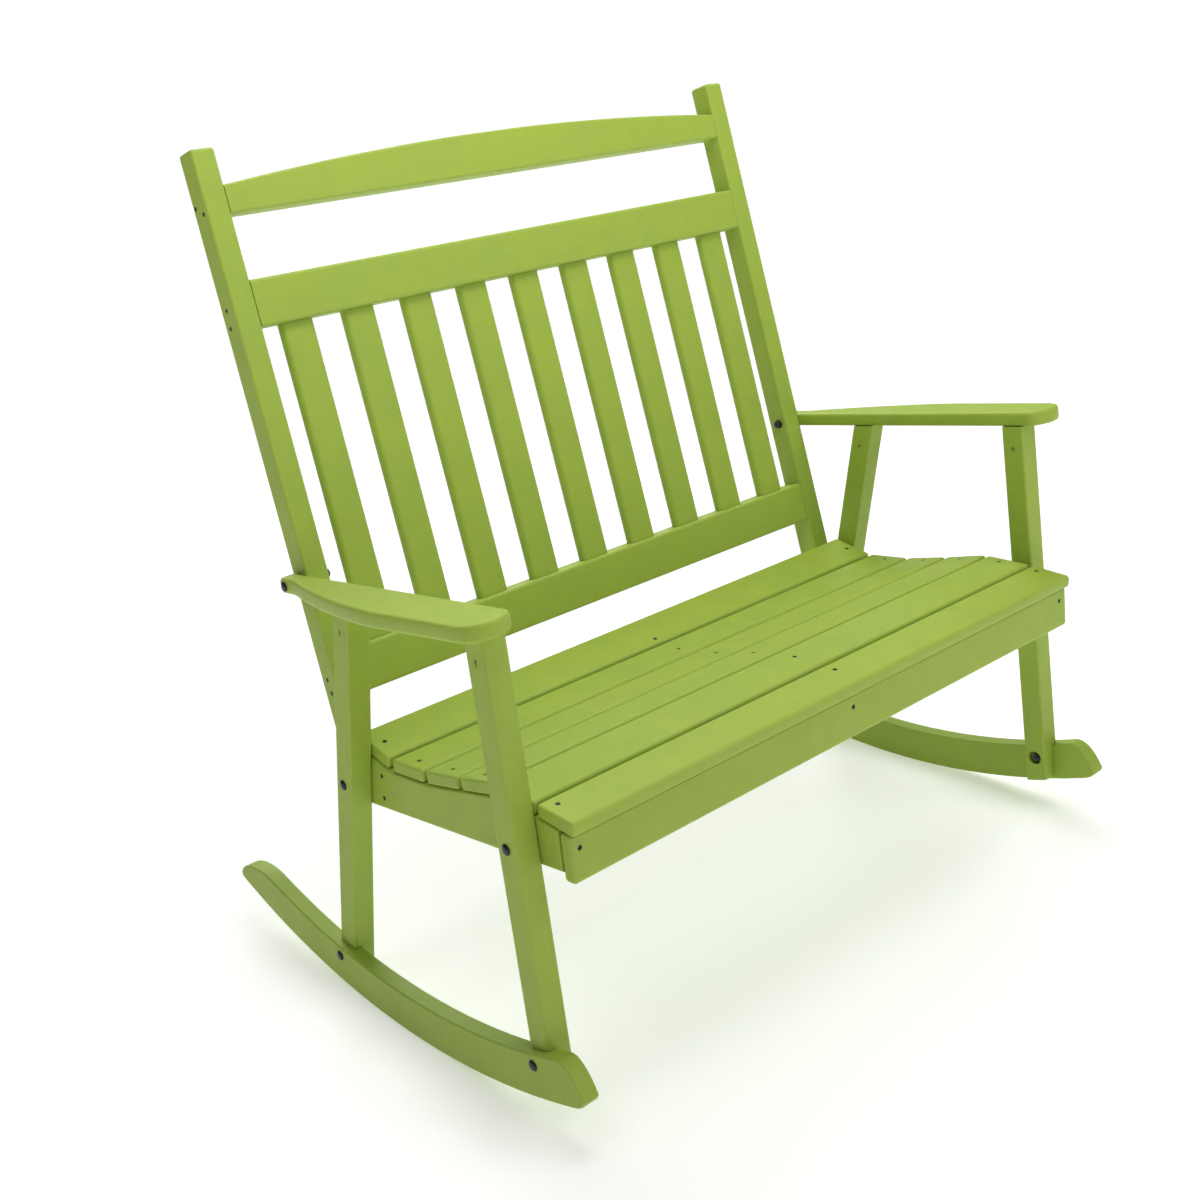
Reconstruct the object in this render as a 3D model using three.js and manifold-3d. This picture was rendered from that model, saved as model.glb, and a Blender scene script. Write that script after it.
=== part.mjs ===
// A two-seat rocking bench of flat-sided moulded lumber, in millimetres.
// +X is the sitter's left, the bench faces -Y, and +Z is up.
// The origin is on the floor under the middle of the whole bench.
import * as THREE from 'three';
import { mergeVertices } from 'three/addons/utils/BufferGeometryUtils.js';
import Module from 'manifold-3d';

const wasm = await Module();
wasm.setup();

// Clearances
const FIT_GAP = 0.3;
const BORE_GAP = 0.3;
const SEAT_END_CLEARANCE = 1.5;

// Across the bench
const BENCH_WIDTH = 1168;
const ROCKER_THICKNESS = 27;
const LEG_THICKNESS = 37.5;
const LEG_LAP_DEPTH = 14;

// Rockers, seen from the side
const ROCKER_RADIUS = 1239;
const ROCKER_DEPTH = 62;
const ROCKER_BACK_REACH = 456;
const ROCKER_FRONT_REACH = 407;

// Shapes of the rockers' ends, in shares of the rocker's depth from the end's tip
const TAIL_SHARES = {
  tipLift: 0.05,
  crownRun: 1.68,
  crownPull: 0.65,
  upperPull: [0, 0.39],
  lowerPull: [0.065, -0.1],
  heelRun: 0.435,
};
const NOSE_SHARES = {
  tipLift: 0.165,
  crownRun: 0.73,
  crownPull: 0.19,
  upperPull: [0.24, 0.53],
  lowerPull: [0.032, -0.18],
  heelRun: 0.355,
};

// How far the bench leans back about the rockers' arc when it rests in balance
const REST_LEAN = THREE.MathUtils.degToRad(0.74);

// Seat boards, from the back board to the front board
const SEAT_BACK_Y = 84;
const SEAT_BACK_HEIGHT = 424;
const SEAT_BOARD_WIDTH = 76;
const SEAT_FRONT_BOARD_WIDTH = 67;
const SEAT_BOARD_THICKNESS = 20;
const SEAT_BOARD_GAP = 6;
const SEAT_BOARD_RISES = [14, -3.9, -10, -11.2, 2.6, 6.2].map(THREE.MathUtils.degToRad);
const SEAT_EDGE_RADIUS = 5;
const SEAT_NOSE_RADIUS = 6.5;

// Seat frame
const SIDE_RAIL_BACK_DEPTH = 90;
const SIDE_RAIL_FRONT_DEPTH = 57;
const MIDDLE_RAIL_THICKNESS = 25;
const APRON_THICKNESS = 20;
const APRON_DEPTH = 66;
const APRON_SETBACK = 9;
const STRETCHER_THICKNESS = 20;
const STRETCHER_DEPTH = 64;
const STRETCHER_FROM_SEAT_BACK = 40;

// Back, in the leaning plane of the posts
const BACK_LEAN = THREE.MathUtils.degToRad(11.82);
const POST_SETBACK = 24;
const POST_DEPTH = 40;
const POST_FOOT_LENGTH = 96;
const POST_HORN = 30;
const LOWER_RAIL_LIFT = 42;
const RAIL_WIDTH = 69;
const RAIL_THICKNESS = 38;
const SLAT_SPAN = 479;
const CREST_OPENING = 95;
const CREST_END_WIDTH = 42;
const CREST_MIDDLE_WIDTH = 66;
const SLAT_COUNT = 9;
const SLAT_WIDTH = 56;
const SLAT_END_GAP = 35.4;
const SLAT_THICKNESS = 18;
const SLAT_EDGE_RADIUS = 5;

// Legs
const LEG_WIDTH = 38;
const FRONT_LEG_LEAN = THREE.MathUtils.degToRad(2.35);
const BACK_LEG_LEAN = THREE.MathUtils.degToRad(-13.85);
const FRONT_LEG_FROM_APRON = 60;
const BACK_LEG_FROM_POST = 43.5;
const LEG_FOOT_CLEARANCE = 7;

// Arms
const ARM_HEIGHT = 630;
const ARM_OVERHANG = 55;
const ARM_RISE = THREE.MathUtils.degToRad(4.5);
const ARM_THICKNESS = 24;
const ARM_WIDTH = 80;
const ARM_TAIL_WIDTH = 28.5;
const ARM_TAIL_LENGTH = 26;
const ARM_TAIL_ROUND = 9;
const ARM_OUTER_SHARES = [
  [0.086, 0.385], [0.15, 0.51], [0.265, 0.69], [0.38, 0.84], [0.5, 0.955],
  [0.6, 1], [0.73, 0.98], [0.86, 0.955],
];
const ARM_FRONT_SHARE = 0.93;
const ARM_FRONT_BULGE = 19;
const ARM_CORNER_SHARE = 0.12;
const ARM_CORNER_RUN = 9;
const ARM_EDGE = 6;
const ARM_SHORT_OF_POST_BACK = 6;

// Edges and bends
const TIMBER_EDGE = 4;
const ROCKER_EDGE = 3;
const CORNER_RADIUS = 5.5;
const EDGE_STEP_COUNT = 2;
const ROUND_STEP_COUNT = 3;
const ARC_STEP_COUNT = 22;
const CORNER_STEP_COUNT = 6;
const HOLE_SIDE_COUNT = 16;

// Carriage bolts and their nuts
const BOLT_HEAD_RADIUS = 7.6;
const BOLT_HEAD_HEIGHT = 3.6;
const BOLT_RADIUS = 3.2;
const BOLT_TAIL = 2.4;
const BOLT_SIDE_COUNT = 16;
const BOLT_DOME_STEP_COUNT = 3;
const NUT_ACROSS_FLATS = 11.1;
const NUT_SIDE_COUNT = 6;
const NUT_HEIGHT = 5.6;
const WASHER_RADIUS = 8;
const WASHER_THICKNESS = 1.6;
const COUNTERBORE_RADIUS = 11.5;
const COUNTERBORE_DEPTH = 9.5;
const ROCKER_BOLT_DROP = 15;

// Pocket holes that take the screws from the leg tops into the arms
const POCKET_RADIUS = 3;
const POCKET_ANGLE = THREE.MathUtils.degToRad(30);
const POCKET_LENGTH = 30;
const POCKET_RISE = 8;
const POCKET_DROP = 39;

// Colours
const LUMBER = { color: 0x97b049, roughness: 0.5, metalness: 0 };
const DARK_STEEL = { color: 0x26262b, roughness: 0.42, metalness: 0.85 };

// Derived widths
const ROCKER_OUTER_X = BENCH_WIDTH / 2;
const ROCKER_INNER_X = ROCKER_OUTER_X - ROCKER_THICKNESS;
const LEG_OUTER_X = ROCKER_INNER_X + LEG_LAP_DEPTH;
const LEG_INNER_X = LEG_OUTER_X - LEG_THICKNESS;
const FRAME_OUTER_X = LEG_INNER_X - FIT_GAP;
const FRAME_INNER_X = FRAME_OUTER_X - LEG_THICKNESS;
const SEAT_LENGTH = 2 * (LEG_INNER_X - SEAT_END_CLEARANCE);
const BACK_INNER_WIDTH = 2 * (FRAME_INNER_X - FIT_GAP);

// Axes that turn a shape drawn as (depth, height) into a piece that runs along X
const SIDE_AXES = new THREE.Matrix4().makeBasis(
  new THREE.Vector3(0, 1, 0),
  new THREE.Vector3(0, 0, 1),
  new THREE.Vector3(1, 0, 0),
);

function solidFrom(geometry) {
  const plain = geometry.clone();
  plain.deleteAttribute('normal');
  plain.deleteAttribute('uv');
  const merged = mergeVertices(plain);
  return new wasm.Manifold(new wasm.Mesh({
    numProp: 3,
    vertProperties: new Float32Array(merged.attributes.position.array),
    triVerts: new Uint32Array(merged.index.array),
  }));
}

function geometryFrom(solid) {
  const mesh = solid.getMesh();
  const geometry = new THREE.BufferGeometry();
  geometry.setAttribute('position', new THREE.BufferAttribute(mesh.vertProperties, 3));
  geometry.setIndex(new THREE.BufferAttribute(mesh.triVerts, 1));
  const flat = geometry.toNonIndexed();
  flat.computeVertexNormals();
  return flat;
}

function carve(geometry, cutters) {
  let solid = solidFrom(geometry);
  for (const cutter of cutters) {
    solid = solid.subtract(solidFrom(cutter));
  }
  return geometryFrom(solid);
}

function weld(first, second) {
  return geometryFrom(solidFrom(first).add(solidFrom(second)));
}

function piece(name, geometry, look) {
  const mesh = new THREE.Mesh(geometry, new THREE.MeshStandardMaterial(look));
  mesh.name = name;
  return mesh;
}

// A board cut to an outline, with the edges of both its faces eased
function easedBoard(shape, thickness, edge = TIMBER_EDGE) {
  const geometry = new THREE.ExtrudeGeometry(shape, {
    depth: thickness - 2 * edge,
    bevelEnabled: true,
    bevelThickness: edge,
    bevelSize: edge,
    bevelOffset: -edge,
    bevelSegments: EDGE_STEP_COUNT,
  });
  geometry.translate(0, 0, edge);
  return geometry;
}

// A piece drawn from the side, as points of depth and height, that runs from x0 to x1
function sideBoard(shape, x0, x1, edge = TIMBER_EDGE) {
  const geometry = easedBoard(shape, x1 - x0, edge);
  geometry.applyMatrix4(SIDE_AXES);
  geometry.translate(x0, 0, 0);
  return geometry;
}

// Boards are drawn this much too long, and sawn, so that their ends stay crisp
const SAW_ALLOWANCE = 2 * TIMBER_EDGE;

// Keeps what lies on the side of each plane that its normal points to
function sawn(geometry, cuts) {
  let solid = solidFrom(geometry);
  for (const { normal, offset } of cuts) {
    solid = solid.trimByPlane(normal, offset);
  }
  return geometryFrom(solid);
}

// A saw cut along a line seen from the side, that keeps what lies to the line's left
function sideCut(from, to) {
  const along = to.clone().sub(from).normalize();
  const normal = [0, -along.y, along.x];
  return { normal, offset: normal[1] * from.x + normal[2] * from.y };
}

// Saw cuts square across a piece that runs along X
function endCuts(half) {
  return [1, -1].map((way) => ({ normal: [way, 0, 0], offset: -half }));
}

function sideCutter(shape, x0, x1) {
  const geometry = new THREE.ExtrudeGeometry(shape, {
    depth: x1 - x0,
    bevelEnabled: false,
  });
  geometry.applyMatrix4(SIDE_AXES);
  geometry.translate(x0, 0, 0);
  return geometry;
}

function roundedRectangle(x0, y0, x1, y1, radius, topLeft = radius) {
  const corners = [
    [x1 - radius, y0 + radius, radius, -Math.PI / 2],
    [x1 - radius, y1 - radius, radius, 0],
    [x0 + topLeft, y1 - topLeft, topLeft, Math.PI / 2],
    [x0 + radius, y0 + radius, radius, Math.PI],
  ];
  const points = [];
  for (const [x, y, bend, from] of corners) {
    for (let step = 0; step <= ROUND_STEP_COUNT; step += 1) {
      const turn = from + ((Math.PI / 2) * step) / ROUND_STEP_COUNT;
      points.push(new THREE.Vector2(x + bend * Math.cos(turn), y + bend * Math.sin(turn)));
    }
  }
  return new THREE.Shape(points);
}

function crossCylinder(radius, x0, x1, depth, height, sides = HOLE_SIDE_COUNT) {
  const geometry = new THREE.CylinderGeometry(radius, radius, x1 - x0, sides);
  geometry.rotateZ(Math.PI / 2);
  geometry.translate((x0 + x1) / 2, depth, height);
  return geometry;
}

// Height of the rockers' arcs over the floor
function arcHeight(depth, drop = 0) {
  const radius = ROCKER_RADIUS - drop;
  return ROCKER_RADIUS - Math.sqrt(radius * radius - depth * depth);
}

function onArc(depth, drop) {
  return new THREE.Vector2(depth, arcHeight(depth, drop));
}

function arcPoints(drop, from, to, steps) {
  const points = [];
  for (let step = 0; step <= steps; step += 1) {
    points.push(onArc(from + ((to - from) * step) / steps, drop));
  }
  return points;
}

// Where a straight line meets an arc about the rockers' centre
function lineOnArc(point, lean, drop) {
  const radius = ROCKER_RADIUS - drop;
  const along = new THREE.Vector2(Math.sin(lean), Math.cos(lean));
  const from = new THREE.Vector2(point.x, point.y - ROCKER_RADIUS);
  const reach = from.dot(along);
  const t = -reach - Math.sqrt(reach * reach - from.lengthSq() + radius * radius);
  return new THREE.Vector2(point.x + along.x * t, point.y + along.y * t);
}

// Points round one end of a rocker, from its bottom arc to its top arc
function rockerEnd(reach, shares) {
  const unit = ROCKER_DEPTH;
  const way = Math.sign(reach);
  const tip = new THREE.Vector2(reach, arcHeight(reach) + shares.tipLift * unit);
  const heel = onArc(reach - way * shares.heelRun * unit, 0);
  const crown = onArc(reach - way * shares.crownRun * unit, unit);
  const pull = ([back, up]) => new THREE.Vector2(tip.x - way * back * unit, tip.y + up * unit);
  const slope = crown.x / (ROCKER_RADIUS - crown.y);
  const alongTop = way * shares.crownPull * unit;
  const lower = new THREE.QuadraticBezierCurve(heel, pull(shares.lowerPull), tip);
  const upper = new THREE.CubicBezierCurve(
    tip,
    pull(shares.upperPull),
    new THREE.Vector2(crown.x + alongTop, crown.y + alongTop * slope),
    crown,
  );
  return [...lower.getPoints(CORNER_STEP_COUNT), ...upper.getPoints(CORNER_STEP_COUNT + EDGE_STEP_COUNT).slice(1)];
}

function rockerShape() {
  const tail = rockerEnd(ROCKER_BACK_REACH, TAIL_SHARES);
  const nose = rockerEnd(-ROCKER_FRONT_REACH, NOSE_SHARES);
  const bottom = arcPoints(0, nose[0].x, tail[0].x, ARC_STEP_COUNT);
  const top = arcPoints(ROCKER_DEPTH, tail[tail.length - 1].x, nose[nose.length - 1].x, ARC_STEP_COUNT);
  return new THREE.Shape([
    ...bottom,
    ...tail.slice(1),
    ...top.slice(1, -1),
    ...nose.slice(1).reverse(),
  ]);
}

// Seat boards as lines along their top faces, back board first
function seatLines() {
  const lines = [];
  let start = new THREE.Vector2(SEAT_BACK_Y, SEAT_BACK_HEIGHT);
  SEAT_BOARD_RISES.forEach((rise, index) => {
    const last = index === SEAT_BOARD_RISES.length - 1;
    const width = last ? SEAT_FRONT_BOARD_WIDTH : SEAT_BOARD_WIDTH;
    const forward = new THREE.Vector2(-Math.cos(rise), -Math.sin(rise));
    const end = start.clone().addScaledVector(forward, width);
    lines.push({ back: start, front: end, rise, width });
    if (!last) {
      const turn = (rise + SEAT_BOARD_RISES[index + 1]) / 2;
      start = end.clone().add(new THREE.Vector2(
        -Math.cos(turn) * SEAT_BOARD_GAP,
        -Math.sin(turn) * SEAT_BOARD_GAP,
      ));
    }
  });
  return lines;
}

const SEAT_LINES = seatLines();

// Points along the boards' undersides, from front to back, less the fit gap
function seatUnderside() {
  const points = [];
  for (const line of [...SEAT_LINES].reverse()) {
    const down = new THREE.Vector2(Math.sin(line.rise), -Math.cos(line.rise));
    const drop = SEAT_BOARD_THICKNESS + FIT_GAP;
    points.push(line.front.clone().addScaledVector(down, drop));
    points.push(line.back.clone().addScaledVector(down, drop));
  }
  return points;
}

const SEAT_UNDERSIDE = seatUnderside();

function undersideHeight(depth) {
  for (let index = 1; index < SEAT_UNDERSIDE.length; index += 1) {
    const a = SEAT_UNDERSIDE[index - 1];
    const b = SEAT_UNDERSIDE[index];
    if (depth >= a.x && depth <= b.x) {
      return a.y + ((b.y - a.y) * (depth - a.x)) / (b.x - a.x);
    }
  }
  const end = depth < SEAT_UNDERSIDE[0].x ? 0 : SEAT_UNDERSIDE.length - 1;
  return SEAT_UNDERSIDE[end].y;
}

// The posts' front faces, as a line seen from the side
const POST_FRONT_AT_SEAT = new THREE.Vector2(SEAT_BACK_Y + POST_SETBACK, SEAT_BACK_HEIGHT);

function postFrontDepth(height) {
  return POST_FRONT_AT_SEAT.x + (height - POST_FRONT_AT_SEAT.y) * Math.tan(BACK_LEAN);
}

// The seat frame's front, set by the apron under the front board
const APRON_BACK_Y = SEAT_LINES[SEAT_LINES.length - 1].front.x + APRON_SETBACK + APRON_THICKNESS;
const RAIL_FRONT_Y = APRON_BACK_Y + FIT_GAP;

// The arms' undersides, as a line seen from the side
const ARM_HEEL_Y = postFrontDepth(ARM_HEIGHT);

function armUnderHeight(depth) {
  return ARM_HEIGHT + (ARM_HEEL_Y - depth) * Math.tan(ARM_RISE);
}

// A leg leans through a point at the seat's height and ends under the arm
function legLine(name, depthAtSeat, lean) {
  const slope = Math.tan(lean);
  const level = depthAtSeat - SEAT_BACK_HEIGHT * slope;
  const height = (ARM_HEIGHT + (ARM_HEEL_Y - level) * Math.tan(ARM_RISE))
    / (1 + slope * Math.tan(ARM_RISE));
  return { name, lean, top: new THREE.Vector2(level + height * slope, height) };
}

const FRONT_LEG = legLine('front', APRON_BACK_Y + FRONT_LEG_FROM_APRON, FRONT_LEG_LEAN);
const BACK_LEG = legLine('back', POST_FRONT_AT_SEAT.x - BACK_LEG_FROM_POST, BACK_LEG_LEAN);

function legDepth(leg, height) {
  return leg.top.x + (height - leg.top.y) * Math.tan(leg.lean);
}

// The arms' ends, seen from the side
const ARM_BACK_Y = ARM_HEEL_Y + POST_DEPTH / Math.cos(BACK_LEAN) - ARM_SHORT_OF_POST_BACK;
const ARM_FRONT_Y = FRONT_LEG.top.x - ARM_OVERHANG;
const ARM_LENGTH = (ARM_BACK_Y - ARM_FRONT_Y) / Math.cos(ARM_RISE);

// The seat rails' lower edge, seen from the side
const RAIL_HEEL = new THREE.Vector2(
  SEAT_BACK_Y,
  SEAT_BACK_HEIGHT - SEAT_BOARD_THICKNESS - SIDE_RAIL_BACK_DEPTH,
);
const RAIL_TOE = new THREE.Vector2(
  RAIL_FRONT_Y,
  undersideHeight(RAIL_FRONT_Y) - SIDE_RAIL_FRONT_DEPTH,
);

function railBottomHeight(depth) {
  const share = (depth - RAIL_TOE.x) / (RAIL_HEEL.x - RAIL_TOE.x);
  return RAIL_TOE.y + (RAIL_HEEL.y - RAIL_TOE.y) * share;
}

// Bolt places, as depth and height
function railBoltPlace(leg) {
  let place = new THREE.Vector2(legDepth(leg, RAIL_HEEL.y), 0);
  for (let pass = 0; pass < CORNER_STEP_COUNT; pass += 1) {
    const height = (undersideHeight(place.x) + railBottomHeight(place.x)) / 2;
    place = new THREE.Vector2(legDepth(leg, height), height);
  }
  return place;
}

function rockerBoltPlace(leg) {
  return lineOnArc(leg.top, leg.lean, ROCKER_DEPTH - ROCKER_BOLT_DROP);
}

function armBoltPlace() {
  const middle = postFrontDepth(ARM_HEIGHT) + POST_DEPTH / 2;
  return new THREE.Vector2(middle, armUnderHeight(middle) + ARM_THICKNESS / 2);
}

const BOLTS = [
  {
    name: 'arm',
    place: armBoltPlace(),
    outer: LEG_INNER_X + FIT_GAP + ARM_TAIL_WIDTH,
    inner: FRAME_INNER_X,
    sink: 0,
  },
  ...[FRONT_LEG, BACK_LEG].map((leg) => ({
    name: `${leg.name}_rail`,
    place: railBoltPlace(leg),
    outer: LEG_OUTER_X,
    inner: FRAME_INNER_X,
    sink: 0,
  })),
  ...[FRONT_LEG, BACK_LEG].map((leg) => ({
    name: `${leg.name}_rocker`,
    place: rockerBoltPlace(leg),
    outer: ROCKER_OUTER_X,
    inner: LEG_INNER_X,
    sink: COUNTERBORE_DEPTH,
  })),
];

function boltNamed(name) {
  return BOLTS.find((bolt) => bolt.name === name);
}

function boltHole(name, radius = BOLT_RADIUS + BORE_GAP) {
  const bolt = boltNamed(name);
  return crossCylinder(radius, -COUNTERBORE_RADIUS, BENCH_WIDTH, bolt.place.x, bolt.place.y);
}

function counterbore(name) {
  const bolt = boltNamed(name);
  return crossCylinder(
    COUNTERBORE_RADIUS,
    bolt.inner - COUNTERBORE_DEPTH,
    bolt.inner + COUNTERBORE_DEPTH,
    bolt.place.x,
    bolt.place.y,
  );
}

// Pieces are drawn for the +X side, then turned over for the other side
function mirrored(geometry, side) {
  if (side > 0) {
    return geometry;
  }
  const flipped = geometry.index ? geometry.toNonIndexed() : geometry.clone();
  const position = flipped.attributes.position;
  for (let index = 0; index < position.count; index += 3) {
    for (let corner = 0; corner < 3; corner += 1) {
      position.setX(index + corner, -position.getX(index + corner));
    }
    const second = new THREE.Vector3().fromBufferAttribute(position, index + 1);
    const third = new THREE.Vector3().fromBufferAttribute(position, index + 2);
    position.setXYZ(index + 1, third.x, third.y, third.z);
    position.setXYZ(index + 2, second.x, second.y, second.z);
  }
  flipped.computeVertexNormals();
  return flipped;
}

const SIDES = [
  { name: 'left', side: 1 },
  { name: 'right', side: -1 },
];

function makeRocker() {
  const board = sideBoard(rockerShape(), ROCKER_INNER_X, ROCKER_OUTER_X, ROCKER_EDGE);
  return carve(board, [boltHole('front_rocker'), boltHole('back_rocker')]);
}

function legCorners(leg) {
  const across = LEG_WIDTH / 2 / Math.cos(leg.lean);
  return [-1, 1].map((edge) => {
    const atTop = leg.top.x + edge * across;
    const reach = armUnderHeight(atTop) - leg.top.y - FIT_GAP;
    const top = new THREE.Vector2(atTop + reach * Math.tan(leg.lean), leg.top.y + reach);
    return { top, foot: lineOnArc(top, leg.lean, LEG_FOOT_CLEARANCE) };
  });
}

function legBoard(leg) {
  const [front, back] = legCorners(leg);
  const longer = new THREE.Vector2(Math.sin(leg.lean), Math.cos(leg.lean)).multiplyScalar(SAW_ALLOWANCE);
  const board = sideBoard(new THREE.Shape([
    front.foot.clone().sub(longer),
    back.foot.clone().sub(longer),
    back.top.clone().add(longer),
    front.top.clone().add(longer),
  ]), LEG_INNER_X, LEG_OUTER_X);
  return sawn(board, [sideCut(front.foot, back.foot), sideCut(back.top, front.top)]);
}

// The part of the foot that is cut away so that the leg stands on the rocker
function lapCutter(leg) {
  const middle = rockerBoltPlace(leg).x;
  const from = middle - 2 * LEG_WIDTH;
  const to = middle + 2 * LEG_WIDTH;
  const top = arcPoints(ROCKER_DEPTH + FIT_GAP, to, from, ARC_STEP_COUNT);
  const shape = new THREE.Shape([
    new THREE.Vector2(from, -ROCKER_DEPTH),
    new THREE.Vector2(to, -ROCKER_DEPTH),
    ...top,
  ]);
  return sideCutter(shape, ROCKER_INNER_X - FIT_GAP, ROCKER_OUTER_X);
}

// A slanting round pocket that runs up from a leg's face towards the arm
function pocketCutter(leg, faceX, outward) {
  const geometry = new THREE.CylinderGeometry(POCKET_RADIUS, POCKET_RADIUS, POCKET_LENGTH, HOLE_SIDE_COUNT);
  geometry.rotateX(Math.PI / 2);
  geometry.translate(0, 0, POCKET_RISE - POCKET_LENGTH / 2);
  geometry.rotateY(-outward * POCKET_ANGLE);
  geometry.rotateX(-leg.lean);
  const height = leg.top.y - POCKET_DROP;
  geometry.translate(faceX, legDepth(leg, height), height);
  return geometry;
}

function makeLeg(leg) {
  return carve(legBoard(leg), [
    lapCutter(leg),
    boltHole(`${leg.name}_rail`),
    boltHole(`${leg.name}_rocker`),
    counterbore(`${leg.name}_rocker`),
    pocketCutter(leg, LEG_OUTER_X, 1),
    pocketCutter(leg, LEG_INNER_X, -1),
  ]);
}

// Plan of the left arm, as distance from its inner edge and from its back end
function armShape() {
  const outer = ARM_OUTER_SHARES.map(([along, across]) => (
    new THREE.Vector2(across * ARM_WIDTH, -along * ARM_LENGTH)
  ));
  const outerCorner = new THREE.Vector2(ARM_FRONT_SHARE * ARM_WIDTH, ARM_FRONT_BULGE - ARM_LENGTH);
  const innerCorner = new THREE.Vector2(0, outerCorner.y);
  const front = new THREE.QuadraticBezierCurve(
    innerCorner,
    new THREE.Vector2(outerCorner.x / 2, -ARM_LENGTH - ARM_FRONT_BULGE),
    outerCorner,
  );
  const frontPoints = [];
  for (let step = 0; step <= CORNER_STEP_COUNT; step += 1) {
    const share = ARM_CORNER_SHARE + (1 - 2 * ARM_CORNER_SHARE) * (step / CORNER_STEP_COUNT);
    frontPoints.push(front.getPoint(share));
  }
  const cornerRound = (from, corner, to) => (
    new THREE.QuadraticBezierCurve(from, corner, to).getPoints(ROUND_STEP_COUNT)
  );
  const beforeInner = new THREE.Vector2(0, innerCorner.y + ARM_CORNER_RUN);
  const afterOuter = new THREE.Vector2(outerCorner.x, outerCorner.y + ARM_CORNER_RUN);
  const tail = new THREE.Vector2(ARM_TAIL_WIDTH, -ARM_TAIL_LENGTH);
  const bulge = new THREE.SplineCurve([afterOuter, ...[...outer].reverse(), tail]);
  return new THREE.Shape([
    new THREE.Vector2(0, 0),
    ...cornerRound(beforeInner, innerCorner, frontPoints[0]),
    ...frontPoints.slice(1, -1),
    ...cornerRound(frontPoints[CORNER_STEP_COUNT], outerCorner, afterOuter),
    ...bulge.getPoints(ARC_STEP_COUNT).slice(1),
    ...cornerRound(
      new THREE.Vector2(ARM_TAIL_WIDTH, -ARM_TAIL_ROUND),
      new THREE.Vector2(ARM_TAIL_WIDTH, 0),
      new THREE.Vector2(ARM_TAIL_WIDTH - ARM_TAIL_ROUND, 0),
    ),
  ]);
}

function makeArm() {
  const board = easedBoard(armShape(), ARM_THICKNESS, ARM_EDGE);
  board.rotateX(-ARM_RISE);
  board.translate(LEG_INNER_X + FIT_GAP, ARM_BACK_Y, armUnderHeight(ARM_BACK_Y));
  return carve(board, [boltHole('arm')]);
}

function makeSideRail() {
  const board = railBoard(postRailEnd(), FRAME_INNER_X, FRAME_OUTER_X);
  return carve(board, [boltHole('front_rail'), boltHole('back_rail')]);
}

// Back end of a side rail, cut along the post's front face
function postRailEnd() {
  const cut = (height) => postFrontDepth(height) - FIT_GAP / Math.cos(BACK_LEAN);
  const high = SEAT_UNDERSIDE[SEAT_UNDERSIDE.length - 1].y;
  const low = railBottomHeight(cut(RAIL_HEEL.y));
  return {
    low: new THREE.Vector2(cut(low), low),
    high: new THREE.Vector2(cut(high), high),
  };
}

function railBoard(end, x0, x1) {
  const upper = SEAT_UNDERSIDE.filter((point) => point.x > RAIL_FRONT_Y && point.x < end.high.x);
  const frontTop = new THREE.Vector2(RAIL_FRONT_Y, undersideHeight(RAIL_FRONT_Y));
  const lower = (depth) => new THREE.Vector2(depth, railBottomHeight(depth));
  const higher = (depth) => new THREE.Vector2(depth, undersideHeight(depth));
  const board = sideBoard(new THREE.Shape([
    lower(RAIL_TOE.x - SAW_ALLOWANCE),
    lower(end.low.x + SAW_ALLOWANCE),
    higher(end.high.x + SAW_ALLOWANCE),
    ...[...upper].reverse(),
    higher(frontTop.x - SAW_ALLOWANCE),
  ]), x0, x1);
  return sawn(board, [sideCut(end.low, end.high), sideCut(frontTop, RAIL_TOE)]);
}

const STRETCHER_BACK_Y = SEAT_BACK_Y - STRETCHER_FROM_SEAT_BACK;
const STRETCHER_FRONT_Y = STRETCHER_BACK_Y - STRETCHER_THICKNESS;

function makeMiddleRail() {
  const back = STRETCHER_FRONT_Y - FIT_GAP;
  const end = {
    low: new THREE.Vector2(back, railBottomHeight(back)),
    high: new THREE.Vector2(back, undersideHeight(back)),
  };
  return railBoard(end, -MIDDLE_RAIL_THICKNESS / 2, MIDDLE_RAIL_THICKNESS / 2);
}

function makeStretcher() {
  const front = undersideHeight(STRETCHER_FRONT_Y);
  const back = undersideHeight(STRETCHER_BACK_Y);
  const shape = new THREE.Shape([
    new THREE.Vector2(STRETCHER_FRONT_Y, front - STRETCHER_DEPTH),
    new THREE.Vector2(STRETCHER_BACK_Y, front - STRETCHER_DEPTH),
    new THREE.Vector2(STRETCHER_BACK_Y, back),
    new THREE.Vector2(STRETCHER_FRONT_Y, front),
  ]);
  const half = BACK_INNER_WIDTH / 2;
  return sawn(sideBoard(shape, -half - SAW_ALLOWANCE, half + SAW_ALLOWANCE), endCuts(half));
}

function makeApron() {
  const top = Math.min(undersideHeight(APRON_BACK_Y), undersideHeight(APRON_BACK_Y - APRON_THICKNESS));
  const front = APRON_BACK_Y - APRON_THICKNESS;
  const shape = roundedRectangle(front, top - APRON_DEPTH, APRON_BACK_Y, top, CORNER_RADIUS);
  return sideBoard(shape, -SEAT_LENGTH / 2, SEAT_LENGTH / 2);
}

function makeSeatBoard(index) {
  const line = SEAT_LINES[index];
  const nose = index === SEAT_LINES.length - 1 ? SEAT_NOSE_RADIUS : SEAT_EDGE_RADIUS;
  const shape = roundedRectangle(0, -SEAT_BOARD_THICKNESS, line.width, 0, SEAT_EDGE_RADIUS, nose);
  const board = sideBoard(shape, -SEAT_LENGTH / 2, SEAT_LENGTH / 2);
  board.rotateX(line.rise);
  board.translate(0, line.front.x, line.front.y);
  return board;
}

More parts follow.
